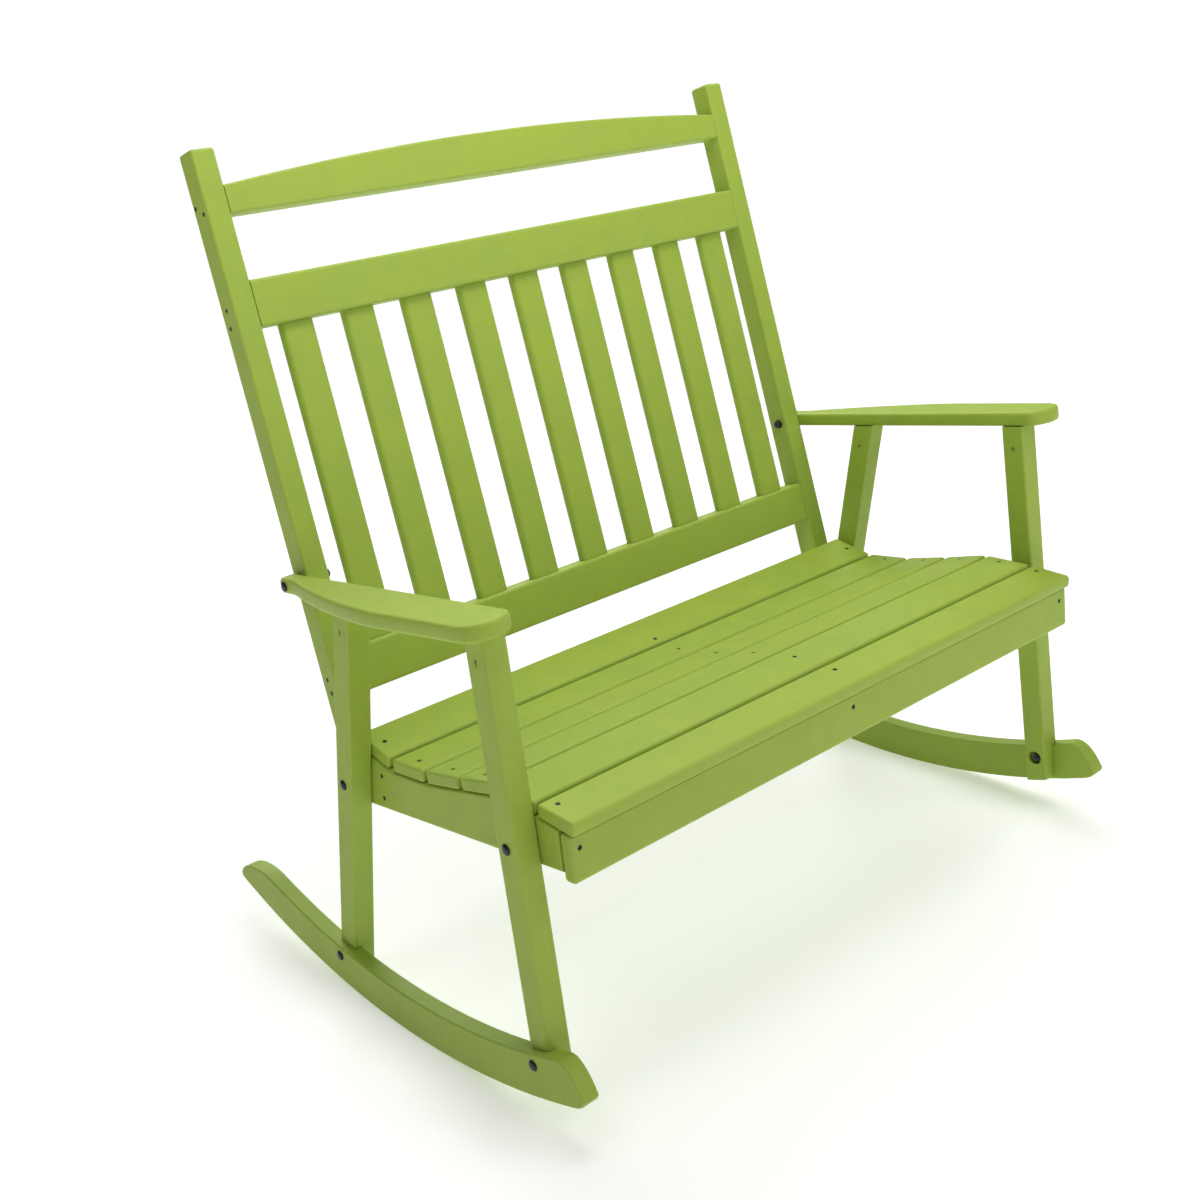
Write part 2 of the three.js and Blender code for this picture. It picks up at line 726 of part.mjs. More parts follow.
// Heights along the back, from the seat's back edge up the posts' front faces
const LOWER_RAIL_Z = LOWER_RAIL_LIFT;
const UPPER_RAIL_Z = LOWER_RAIL_Z + RAIL_WIDTH + SLAT_SPAN;
const CREST_Z = UPPER_RAIL_Z + RAIL_WIDTH + CREST_OPENING;
const POST_TOP_Z = CREST_Z + CREST_MIDDLE_WIDTH + POST_HORN;
const RAIL_FRONT_INSET = (POST_DEPTH - RAIL_THICKNESS) / 2;

function leanBack(geometry) {
  geometry.rotateX(-BACK_LEAN);
  geometry.translate(0, POST_FRONT_AT_SEAT.x, POST_FRONT_AT_SEAT.y);
  return geometry;
}

function makePost() {
  const shape = roundedRectangle(0, -POST_FOOT_LENGTH, POST_DEPTH, POST_TOP_Z, CORNER_RADIUS);
  const post = sideBoard(shape, FRAME_INNER_X, FRAME_OUTER_X);
  return carve(leanBack(post), [boltHole('arm')]);
}

function boardAcross(shape) {
  const board = sawn(easedBoard(shape, RAIL_THICKNESS), endCuts(BACK_INNER_WIDTH / 2));
  board.rotateX(Math.PI / 2);
  board.translate(0, RAIL_FRONT_INSET + RAIL_THICKNESS, 0);
  return leanBack(board);
}

function makeBackRail(bottom) {
  const half = BACK_INNER_WIDTH / 2 + SAW_ALLOWANCE;
  return boardAcross(new THREE.Shape([
    new THREE.Vector2(-half, bottom),
    new THREE.Vector2(half, bottom),
    new THREE.Vector2(half, bottom + RAIL_WIDTH),
    new THREE.Vector2(-half, bottom + RAIL_WIDTH),
  ]));
}

function makeCrestRail() {
  const half = BACK_INNER_WIDTH / 2;
  const rise = CREST_MIDDLE_WIDTH - CREST_END_WIDTH;
  const radius = (half * half + rise * rise) / (2 * rise);
  const centre = CREST_Z + CREST_MIDDLE_WIDTH - radius;
  const reach = half + SAW_ALLOWANCE;
  const top = [];
  for (let step = 0; step <= ARC_STEP_COUNT; step += 1) {
    const x = reach - (2 * reach * step) / ARC_STEP_COUNT;
    top.push(new THREE.Vector2(x, centre + Math.sqrt(radius * radius - x * x)));
  }
  return boardAcross(new THREE.Shape([
    new THREE.Vector2(-reach, CREST_Z),
    new THREE.Vector2(reach, CREST_Z),
    ...top,
  ]));
}

function makeBackSlat(index) {
  const pitch = (BACK_INNER_WIDTH - 2 * SLAT_END_GAP - SLAT_WIDTH) / (SLAT_COUNT - 1);
  const middle = (index - (SLAT_COUNT - 1) / 2) * pitch;
  const front = RAIL_FRONT_INSET + (RAIL_THICKNESS - SLAT_THICKNESS) / 2;
  const section = roundedRectangle(
    middle - SLAT_WIDTH / 2,
    front,
    middle + SLAT_WIDTH / 2,
    front + SLAT_THICKNESS,
    SLAT_EDGE_RADIUS,
  );
  const slat = new THREE.ExtrudeGeometry(section, {
    depth: SLAT_SPAN - 2 * FIT_GAP,
    bevelEnabled: false,
  });
  slat.translate(0, 0, LOWER_RAIL_Z + RAIL_WIDTH + FIT_GAP);
  return leanBack(slat);
}

// Carriage bolt along X: domed head outside, plain shank, end past the nut
function makeBolt(bolt) {
  const length = bolt.outer - bolt.inner - bolt.sink + WASHER_THICKNESS + NUT_HEIGHT + BOLT_TAIL;
  const profile = [new THREE.Vector2(0, -length)];
  profile.push(new THREE.Vector2(BOLT_RADIUS, -length));
  profile.push(new THREE.Vector2(BOLT_RADIUS, FIT_GAP));
  profile.push(new THREE.Vector2(BOLT_HEAD_RADIUS, FIT_GAP));
  for (let step = 1; step < BOLT_DOME_STEP_COUNT; step += 1) {
    const turn = (Math.PI / 2) * (step / BOLT_DOME_STEP_COUNT);
    profile.push(new THREE.Vector2(
      BOLT_HEAD_RADIUS * Math.cos(turn),
      FIT_GAP + BOLT_HEAD_HEIGHT * Math.sin(turn),
    ));
  }
  profile.push(new THREE.Vector2(0, FIT_GAP + BOLT_HEAD_HEIGHT));
  const geometry = new THREE.LatheGeometry(profile, BOLT_SIDE_COUNT);
  geometry.rotateZ(-Math.PI / 2);
  geometry.translate(bolt.outer, bolt.place.x, bolt.place.y);
  return geometry;
}

// Hexagon nut on its washer, with a plain hole for the bolt
function makeNut(bolt) {
  const hexRadius = NUT_ACROSS_FLATS / 2 / Math.cos(Math.PI / NUT_SIDE_COUNT);
  const seatX = bolt.inner + bolt.sink - FIT_GAP;
  const washer = crossCylinder(WASHER_RADIUS, seatX - WASHER_THICKNESS, seatX, bolt.place.x, bolt.place.y);
  const hex = crossCylinder(
    hexRadius,
    seatX - WASHER_THICKNESS - NUT_HEIGHT,
    seatX - WASHER_THICKNESS / 2,
    bolt.place.x,
    bolt.place.y,
    NUT_SIDE_COUNT,
  );
  return carve(weld(washer, hex), [boltHole(bolt.name)]);
}

function makePart() {
  const bench = new THREE.Group();
  const tilt = new THREE.Group();
  tilt.position.set(0, 0, ROCKER_RADIUS);
  tilt.rotation.x = -REST_LEAN;
  const frame = new THREE.Group();
  frame.position.set(0, 0, -ROCKER_RADIUS);
  tilt.add(frame);
  bench.add(tilt);
  const pairs = [
    ['rocker', makeRocker(), LUMBER],
    ['front_leg', makeLeg(FRONT_LEG), LUMBER],
    ['back_leg', makeLeg(BACK_LEG), LUMBER],
    ['arm', makeArm(), LUMBER],
    ['back_post', makePost(), LUMBER],
    ['side_seat_rail', makeSideRail(), LUMBER],
  ];
  for (const bolt of BOLTS) {
    pairs.push([`${bolt.name}_bolt`, makeBolt(bolt), DARK_STEEL]);
    pairs.push([`${bolt.name}_nut`, makeNut(bolt), DARK_STEEL]);
  }
  for (const { name, side } of SIDES) {
    for (const [label, geometry, look] of pairs) {
      frame.add(piece(`${label}_${name}`, mirrored(geometry, side), look));
    }
  }
  frame.add(piece('middle_seat_rail', makeMiddleRail(), LUMBER));
  frame.add(piece('rear_stretcher', makeStretcher(), LUMBER));
  frame.add(piece('front_apron', makeApron(), LUMBER));
  SEAT_LINES.forEach((line, index) => {
    frame.add(piece(`seat_board_${index + 1}`, makeSeatBoard(index), LUMBER));
  });
  frame.add(piece('lower_back_rail', makeBackRail(LOWER_RAIL_Z), LUMBER));
  frame.add(piece('upper_back_rail', makeBackRail(UPPER_RAIL_Z), LUMBER));
  frame.add(piece('crest_rail', makeCrestRail(), LUMBER));
  for (let index = 0; index < SLAT_COUNT; index += 1) {
    frame.add(piece(`back_slat_${index + 1}`, makeBackSlat(index), LUMBER));
  }
  const bounds = new THREE.Box3().setFromObject(bench, true);
  const middle = bounds.getCenter(new THREE.Vector3());
  bench.position.set(-middle.x, -middle.y, -bounds.min.z);
  bench.updateMatrixWorld(true);
  return bench;
}

const part = makePart();

export default part;
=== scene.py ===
"""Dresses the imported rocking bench: lime lumber boards, black bolts, dark screws and a pale studio.

Every board but the slats is a cleaned copy of its CAD node, with its sharp edges eased and its
screw holes countersunk. Slats, bolts, nuts and washers are modelled here and stand where the CAD
has them. The small screws are only here. Lengths are in metres. Places of screws as drawn are in
millimetres.
"""

import logging
import math
from dataclasses import dataclass, field
from enum import Enum
from typing import Callable, Dict, List, Sequence, Tuple, Union

import bpy
from mathutils import Euler, Matrix, Vector


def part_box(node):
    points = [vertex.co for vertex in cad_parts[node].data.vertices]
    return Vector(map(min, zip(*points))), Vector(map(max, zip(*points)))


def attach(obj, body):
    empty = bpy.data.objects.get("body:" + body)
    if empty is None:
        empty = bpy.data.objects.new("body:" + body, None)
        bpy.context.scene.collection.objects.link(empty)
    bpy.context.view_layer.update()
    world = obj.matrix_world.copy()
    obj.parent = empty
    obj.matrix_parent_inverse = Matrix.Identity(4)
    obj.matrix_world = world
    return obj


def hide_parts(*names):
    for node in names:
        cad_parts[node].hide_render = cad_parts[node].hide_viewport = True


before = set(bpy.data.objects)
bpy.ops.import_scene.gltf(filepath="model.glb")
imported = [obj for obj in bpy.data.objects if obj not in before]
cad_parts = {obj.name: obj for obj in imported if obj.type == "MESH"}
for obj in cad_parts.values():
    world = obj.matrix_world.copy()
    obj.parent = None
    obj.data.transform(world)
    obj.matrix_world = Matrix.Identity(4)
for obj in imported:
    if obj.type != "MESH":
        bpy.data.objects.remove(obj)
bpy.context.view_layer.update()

LOG = logging.getLogger("rocking_bench")
ROOT_BODY = "root"
LUMBER_SLOT = "lumber"
STEEL_SLOT = "dark_steel"
ARRIS_ATTRIBUTE = "arris"
BATCH_ATTRIBUTE = "batch"
MM = 0.001
PHOTO_SIDE_PX = 1200.0
FLAT_FACE_WEIGHT = 80
# Places of a Mix node's factor, colours and colour output, whose names it has more than once.
MIX_SHARE, MIX_FIRST, MIX_SECOND, MIX_RESULT = 0, 6, 7, 2

Colour = Tuple[float, float, float, float]
Rings = Sequence[Tuple[float, float]]
Shares = Tuple[Tuple[str, float], ...]


class Grain(Enum):
    """Which way a board was drawn through its die, as the turn that lays its streaks along +X."""

    ACROSS = (0.0, 0.0, 0.0)
    DEEP = (0.0, 0.0, math.radians(90.0))
    UPRIGHT = (0.0, math.radians(90.0), 0.0)


class Side(Enum):
    """The bench's two sides as the sitter sees them, with the sign of their X."""

    LEFT = 1
    RIGHT = -1

    @property
    def label(self) -> str:
        """The side's name as node names have it."""
        return self.name.lower()

    @property
    def outwards(self) -> Vector:
        """The way from the bench's middle to this side."""
        return Vector((self.value, 0.0, 0.0))


@dataclass(frozen=True)
class Noise:
    """One layer of noise.

    The scale is per metre, the detail is a number of octaves, the roughness is how strong the finer
    ones are, and the used part of the range is stretched to fill 0 to 1.
    """

    scale: float
    detail: float = 2.0
    roughness: float = 0.5
    used: Tuple[float, float] = (0.3, 0.7)


class Graph:
    """The node tree of one material or of the world."""

    def __init__(self, owner: Union[bpy.types.Material, bpy.types.World]) -> None:
        """Empties the owner's tree.

        Args:
            owner: The new material or world.
        """
        owner.use_nodes = True
        self.tree = owner.node_tree
        self.tree.nodes.clear()

    def add(self, kind: str, settings: Dict[str, object],
            values: Dict[Union[str, int], object]) -> bpy.types.Node:
        """Adds one node, sets it and feeds it.

        Args:
            kind: The node's type name.
            settings: Attributes to set before its sockets are fed.
            values: Numbers, colours or outputs for its input sockets, by name or place.

        Returns:
            The node.
        """
        made = self.tree.nodes.new(kind)
        for name, value in settings.items():
            setattr(made, name, value)
        for key, value in values.items():
            if isinstance(value, Socket):
                self.tree.links.new(value.output, made.inputs[key])
            else:
                made.inputs[key].default_value = value
        return made

    def node(self, kind: str, settings: Dict[str, object], values: Dict[Union[str, int], object],
             output: Union[str, int] = 0) -> "Socket":
        """Adds one node and gives one of its outputs.

        Args:
            kind: The node's type name.
            settings: Attributes to set before its sockets are fed.
            values: Numbers, colours or outputs for its input sockets, by name or place.
            output: The name or place of the output that is wanted.

        Returns:
            That output.
        """
        return Socket(self, self.add(kind, settings, values).outputs[output])

    def noise(self, place: "Socket", noise: Noise) -> "Socket":
        """Adds a noise texture, stretched to fill the range 0 to 1.

        Args:
            place: The coordinates that it reads.
            noise: Its settings.

        Returns:
            Its value, 0.5 on average.
        """
        texture = self.node("ShaderNodeTexNoise", {"noise_dimensions": "3D"}, {
            "Vector": place, "Scale": noise.scale, "Detail": noise.detail,
            "Roughness": noise.roughness,
        })
        return texture.stretched(*noise.used)

    @staticmethod
    def blend(layers: Dict[str, "Socket"], shares: Shares) -> "Socket":
        """Adds layers up, each times its share.

        Args:
            layers: The layers by name.
            shares: Names and shares of the layers that are wanted.

        Returns:
            The sum.
        """
        total, *others = [layers[name] * share for name, share in shares]
        for layer in others:
            total = total + layer
        return total

    def attribute(self, name: str) -> "Socket":
        """Reads one of the mesh's own attributes."""
        return self.node("ShaderNodeAttribute", {"attribute_name": name}, {}, "Fac")

    def mix(self, share: object, first: object, second: object) -> "Socket":
        """Mixes two colours.

        Args:
            share: How much of the second colour there is.
            first: The first colour.
            second: The second colour.

        Returns:
            The mixed colour.
        """
        return self.node("ShaderNodeMix", {"data_type": "RGBA", "blend_type": "MIX"},
                         {MIX_SHARE: share, MIX_FIRST: first, MIX_SECOND: second}, MIX_RESULT)

    def bump(self, height: "Socket", strength: float, distance: float) -> "Socket":
        """Adds a bump.

        Args:
            height: The height that it reads.
            strength: How strong it is.
            distance: The length in metres that a height of 1 stands for.

        Returns:
            The bent normal.
        """
        return self.node("ShaderNodeBump", {},
                         {"Height": height, "Strength": strength, "Distance": distance})

    def surface(self, values: Dict[str, object]) -> None:
        """Ends a material's graph with a principled surface.

        Args:
            values: The shader's numbers, colours and outputs.
        """
        shader = self.node("ShaderNodeBsdfPrincipled", {}, values)
        self.add("ShaderNodeOutputMaterial", {}, {"Surface": shader})


class Socket:
    """One output of a node, with arithmetic that adds Math nodes."""

    def __init__(self, graph: Graph, output: bpy.types.NodeSocket) -> None:
        """Keeps the graph and the output.

        Args:
            graph: The graph that the output belongs to.
            output: The node's output socket.
        """
        self.graph = graph
        self.output = output

    def _math(self, operation: str, first: object, second: object) -> "Socket":
        """Adds one Math node.

        Args:
            operation: The Math node's operation.
            first: Its first value or output.
            second: Its second value or output.

        Returns:
            The node's output.
        """
        return self.graph.node("ShaderNodeMath", {"operation": operation}, {0: first, 1: second})

    def __add__(self, other: object) -> "Socket":
        """Adds a number or another output."""
        return self._math("ADD", self, other)

    __radd__ = __add__

    def __sub__(self, other: object) -> "Socket":
        """Takes a number or another output away."""
        return self._math("SUBTRACT", self, other)

    def __rsub__(self, other: object) -> "Socket":
        """Takes this output away from a number."""
        return self._math("SUBTRACT", other, self)

    def __mul__(self, other: object) -> "Socket":
        """Multiplies by a number or another output."""
        return self._math("MULTIPLY", self, other)

    __rmul__ = __mul__

    def stretched(self, low: float, high: float) -> "Socket":
        """Stretches the range low to high to 0 to 1, held between the two.

        Args:
            low: The value that becomes 0.
            high: The value that becomes 1.

        Returns:
            The stretched value.
        """
        return self.graph.node("ShaderNodeMapRange", {"clamp": True},
                               {"Value": self, "From Min": low, "From Max": high})


@dataclass(frozen=True)
class LumberFinish:
    """Satin skin of extruded lumber, coloured right through, with clouds, mottle and streaks."""

    name: str = "lime_lumber"
    colour: Colour = (0.350, 0.480, 0.062, 1.0)
    yellow: Colour = (0.392, 0.512, 0.056, 1.0)
    cool: Colour = (0.300, 0.418, 0.074, 1.0)
    # Lighter colour of the rounded edges: a painted highlight, partly the paler milled edge.
    scuffed: Colour = (0.450, 0.570, 0.130, 1.0)
    batch_step: Tuple[float, float, float] = (5.3, 3.1, 4.7)
    clouds: Noise = Noise(5.5)
    blotches: Noise = Noise(24.0, 4.0, 0.6)
    mottle: Noise = Noise(130.0, 3.0, 0.6)
    streaks: Noise = Noise(300.0, 4.0, 0.65)
    speckle: Noise = Noise(1100.0)
    streak_stretch: float = 0.04
    yellow_shares: Shares = (("clouds", 0.45), ("mottle", 0.2), ("batch", 0.25))
    cool_shares: Shares = (("blotches", 0.4), ("streaks", 0.16))
    rub_shares: Shares = (("mottle", 0.6), ("blotches", 0.4))
    rub_tint: float = 0.4
    rub_polish: float = 0.05
    roughness: float = 0.42
    rough_shares: Shares = (("blotches", 0.08), ("mottle", 0.05), ("streaks", 0.06))
    height_shares: Shares = (
        ("blotches", 1.5), ("mottle", 0.5), ("streaks", 0.35), ("speckle", 0.22),
    )
    bump_strength: float = 0.5
    bump_depth: float = 0.16 * MM
    refraction: float = 1.5
    sheen: float = 0.25

    def material(self, grain: Grain) -> bpy.types.Material:
        """Builds the finish for boards whose streaks run one way.

        Args:
            grain: The way that the streaks run.

        Returns:
            The material.
        """
        material = bpy.data.materials.new(f"{self.name}_{grain.name.lower()}")
        graph = Graph(material)
        batch = graph.attribute(BATCH_ATTRIBUTE)
        place = graph.node("ShaderNodeTexCoord", {}, {}, "Object")
        place = graph.node("ShaderNodeVectorMath", {"operation": "MULTIPLY_ADD"},
                           {0: batch, 1: self.batch_step, 2: place})
        turned = graph.node("ShaderNodeMapping", {"vector_type": "POINT"},
                            {"Vector": place, "Rotation": grain.value})
        drawn = graph.node("ShaderNodeMapping", {"vector_type": "POINT"},
                           {"Vector": turned, "Scale": (self.streak_stretch, 1.0, 1.0)})
        layers = {
            "batch": batch,
            "clouds": graph.noise(place, self.clouds),
            "blotches": graph.noise(place, self.blotches),
            "mottle": graph.noise(place, self.mottle),
            "streaks": graph.noise(drawn, self.streaks),
            "speckle": graph.noise(place, self.speckle),
        }
        # Painted highlight along the rounded edges, partly the paler milled edge: the arris mask
        # lightens them and makes them a little glossier.
        edge_highlight = graph.attribute(ARRIS_ATTRIBUTE) * graph.blend(layers, self.rub_shares)
        tone = graph.mix(graph.blend(layers, self.yellow_shares), self.colour, self.yellow)
        tone = graph.mix(graph.blend(layers, self.cool_shares), tone, self.cool)
        tone = graph.mix(edge_highlight * self.rub_tint, tone, self.scuffed)
        rough = graph.blend(layers, self.rough_shares) - edge_highlight * self.rub_polish + self.roughness
        height = graph.blend(layers, self.height_shares)
        graph.surface({
            "Base Color": tone,
            "Roughness": rough,
            "Normal": graph.bump(height, self.bump_strength, self.bump_depth),
            "IOR": self.refraction,
            "Specular IOR Level": self.sheen,
        })
        return material


@dataclass(frozen=True)
class SteelFinish:
    """Coated steel with a fine peel, rubbed through to grey in small places."""

    name: str
    coat: Colour
    worn: Colour
    roughness: float
    metal: float
    peel: Noise = Noise(1700.0)
    wear: Noise = Noise(380.0, 4.0, 0.7)
    wear_range: Tuple[float, float] = (0.55, 1.0)
    wear_tint: float = 0.5
    wear_metal: float = 0.3
    rough_shares: Shares = (("wear", 0.12), ("peel", 0.04))
    bump_strength: float = 0.3
    bump_depth: float = 0.03 * MM

    def material(self) -> bpy.types.Material:
        """Builds the finish.

        Returns:
            The material.
        """
        material = bpy.data.materials.new(self.name)
        graph = Graph(material)
        place = graph.node("ShaderNodeTexCoord", {}, {}, "Object")
        peel = graph.noise(place, self.peel)
        wear = graph.noise(place, self.wear).stretched(*self.wear_range)
        rough = graph.blend({"wear": wear, "peel": peel}, self.rough_shares)
        graph.surface({
            "Base Color": graph.mix(wear * self.wear_tint, self.coat, self.worn),
            "Roughness": rough + self.roughness,
            "Metallic": wear * self.wear_metal + self.metal,
            "Normal": graph.bump(peel, self.bump_strength, self.bump_depth),
        })
        return material


LUMBER = LumberFinish()
BLACK_BOLT = SteelFinish(name="black_bolt", coat=(0.012, 0.012, 0.017, 1.0),
                         worn=(0.06, 0.06, 0.07, 1.0), roughness=0.27, metal=0.35)
GREY_NUT = SteelFinish(name="grey_nut", coat=(0.06, 0.058, 0.068, 1.0),
                       worn=(0.2, 0.195, 0.2, 1.0), roughness=0.33, metal=0.7)
DARK_SCREW = SteelFinish(name="dark_screw", coat=(0.022, 0.024, 0.028, 1.0),
                         worn=(0.11, 0.11, 0.11, 1.0), roughness=0.35, metal=0.6)


@dataclass(frozen=True)
class DrawnFrame:
    """The bench as it is drawn, before it leans into balance about its rockers' arc."""

    arc_radius: float = 1239.0 * MM
    lean: float = math.radians(0.74)
    shift: float = -9.583 * MM
    back_lean: float = math.radians(11.82)
    back_foot: Tuple[float, float] = (108.0 * MM, 424.0 * MM)

    def way(self, across: float, depth: float, height: float) -> Vector:
        """Turns a drawn direction into a direction in the frame."""
        return Matrix.Rotation(-self.lean, 3, "X") @ Vector((across, depth, height))

    def point(self, across: float, depth: float, height: float) -> Vector:
        """Turns a drawn place into a place in the frame.

        Args:
            across: X of the place.
            depth: Drawn Y of the place.
            height: Drawn height of the place.

        Returns:
            The place in the frame.
        """
        hung = self.way(across, depth, height - self.arc_radius)
        return hung + Vector((0.0, self.shift, self.arc_radius))

    def on_back(self, across: float, up: float, behind: float) -> Vector:
        """Turns a place on the leaning back into a place in the frame.

        Args:
            across: X of the place.
            up: Distance up the posts' front faces from the seat's height.
            behind: Distance behind the posts' front faces.

        Returns:
            The place in the frame.
        """
        sine, cosine = math.sin(self.back_lean), math.cos(self.back_lean)
        depth, height = self.back_foot
        return self.point(across, depth + up * sine + behind * cosine,
                          height + up * cosine - behind * sine)


DRAWN = DrawnFrame()


class Bench:
    """Modelling moves that the sub-assemblies share."""

    @staticmethod
    def only(piece: bpy.types.Object) -> None:
        """Leaves one piece selected and active.

        Args:
            piece: The piece.
        """
        bpy.ops.object.select_all(action="DESELECT")
        piece.select_set(True)
        bpy.context.view_layer.objects.active = piece

    @staticmethod
    def apply(piece: bpy.types.Object, kind: str, settings: Dict[str, object]) -> None:
        """Adds a modifier to a piece and applies it.

        Args:
            piece: The piece.
            kind: The modifier's type.
            settings: The modifier's settings.
        """
        Bench.only(piece)
        modifier = piece.modifiers.new(kind.lower(), kind)
        for name, value in settings.items():
            setattr(modifier, name, value)
        bpy.ops.object.modifier_apply(modifier=modifier.name)

    @staticmethod
    def cut(piece: bpy.types.Object, cutter: bpy.types.Object,
            operation: str = "DIFFERENCE") -> None:
        """Cuts a piece with another one, which is then thrown away.

        Args:
            piece: The piece.
            cutter: The other one.
            operation: What is done with it.
        """
        Bench.apply(piece, "BOOLEAN", {"operation": operation, "solver": "EXACT", "object": cutter})
        bpy.data.objects.remove(cutter)

    @staticmethod
    def turned(name: str, rings: Rings, sides: int) -> bpy.types.Object:
        """Turns a round piece about +Z.

        Args:
            name: The piece's name.
            rings: Radius and height of each ring, from the first to the last.
            sides: How many sides it has.

        Returns:
            The closed piece.
        """
        bpy.ops.object.select_all(action="DESELECT")
        radius, height = rings[0]
        bpy.ops.mesh.primitive_circle_add(vertices=sides, radius=radius, fill_type="NGON",
                                          location=(0.0, 0.0, height))
        piece = bpy.context.active_object
        piece.name = name
        bpy.ops.object.transform_apply(location=True, rotation=True, scale=True)
        bpy.ops.object.mode_set(mode="EDIT")
        bpy.ops.mesh.select_all(action="SELECT")
        for next_radius, next_height in rings[1:]:
            bpy.ops.mesh.extrude_region_move(
                TRANSFORM_OT_translate={"value": (0.0, 0.0, next_height - height)})
            share = next_radius / radius
            bpy.ops.transform.resize(value=(share, share, 1.0),
                                     center_override=(0.0, 0.0, next_height))
            radius, height = next_radius, next_height
        bpy.ops.mesh.select_all(action="SELECT")
        bpy.ops.mesh.normals_make_consistent(inside=False)
        bpy.ops.object.mode_set(mode="OBJECT")
        return piece

    @staticmethod
    def block(name: str, size: Tuple[float, float, float]) -> bpy.types.Object:
        """Makes a plain block about the origin, to be shaped further.

        Args:
            name: The block's name.
            size: Its size.

        Returns:
            The block.
        """
        bpy.ops.object.select_all(action="DESELECT")
        bpy.ops.mesh.primitive_cube_add(size=1.0)
        piece = bpy.context.active_object
        piece.name = name
        bpy.ops.object.mode_set(mode="EDIT")
        bpy.ops.mesh.select_all(action="SELECT")
        bpy.ops.transform.resize(value=size, center_override=(0.0, 0.0, 0.0))
        bpy.ops.object.mode_set(mode="OBJECT")
        return piece

    @staticmethod
    def pick_edges(piece: bpy.types.Object, wanted: Callable[[Vector, Vector], bool]) -> None:
        """Selects the edges whose ends pass a test. The piece is in edit mode before and after.

        Args:
            piece: The piece.
            wanted: The test on an edge's two ends.
        """
        bpy.ops.mesh.select_mode(type="EDGE")
        bpy.ops.mesh.select_all(action="DESELECT")
        bpy.ops.object.mode_set(mode="OBJECT")
        points = piece.data.vertices
        for edge in piece.data.edges:
            first, second = edge.vertices
            edge.select = wanted(points[first].co, points[second].co)
        bpy.ops.object.mode_set(mode="EDIT")

    @staticmethod
    def joined(name: str, parts: List[bpy.types.Object]) -> bpy.types.Object:
        """Joins parts into one piece.

        Args:
            name: The piece's name.
            parts: The parts.

        Returns:
            The piece.
        """
        Bench.only(parts[0])
        for part in parts:
            part.select_set(True)
        bpy.ops.object.join()
        parts[0].name = name
        return parts[0]

    @staticmethod
    def copy_of(model: bpy.types.Object, name: str, place: Matrix) -> bpy.types.Object:
        """Copies a finished model with a mesh of its own.

        Args:
            model: The model.
            name: The copy's name.
            place: Where the copy goes.

        Returns:
            The copy.
        """
        mesh = model.data.copy()
        mesh.name = name
        mesh.transform(place)
        copy = bpy.data.objects.new(name, mesh)
        bpy.context.scene.collection.objects.link(copy)
        return copy

    @staticmethod
    def smooth(piece: bpy.types.Object, angle: float) -> None:
        """Shades a piece smooth up to an angle, and keeps its large faces flat.

        Args:
            piece: The piece.
            angle: The angle in degrees.
        """
        Bench.only(piece)
        bpy.ops.object.shade_smooth_by_angle(angle=math.radians(angle))
        Bench.apply(piece, "WEIGHTED_NORMAL", {"keep_sharp": True, "weight": FLAT_FACE_WEIGHT})

    @staticmethod
    def dress(piece: bpy.types.Object, finish: bpy.types.Material, slot: str) -> None:
        """Gives a piece its finish and its body, and reports it.

        Args:
            piece: The piece.
            finish: Its material.
            slot: Not used.
        """
        piece.data.materials.clear()
        piece.data.materials.append(finish)
        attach(piece, ROOT_BODY)
        LOG.info("%s: %d faces, %s", piece.name, len(piece.data.polygons), finish.name)


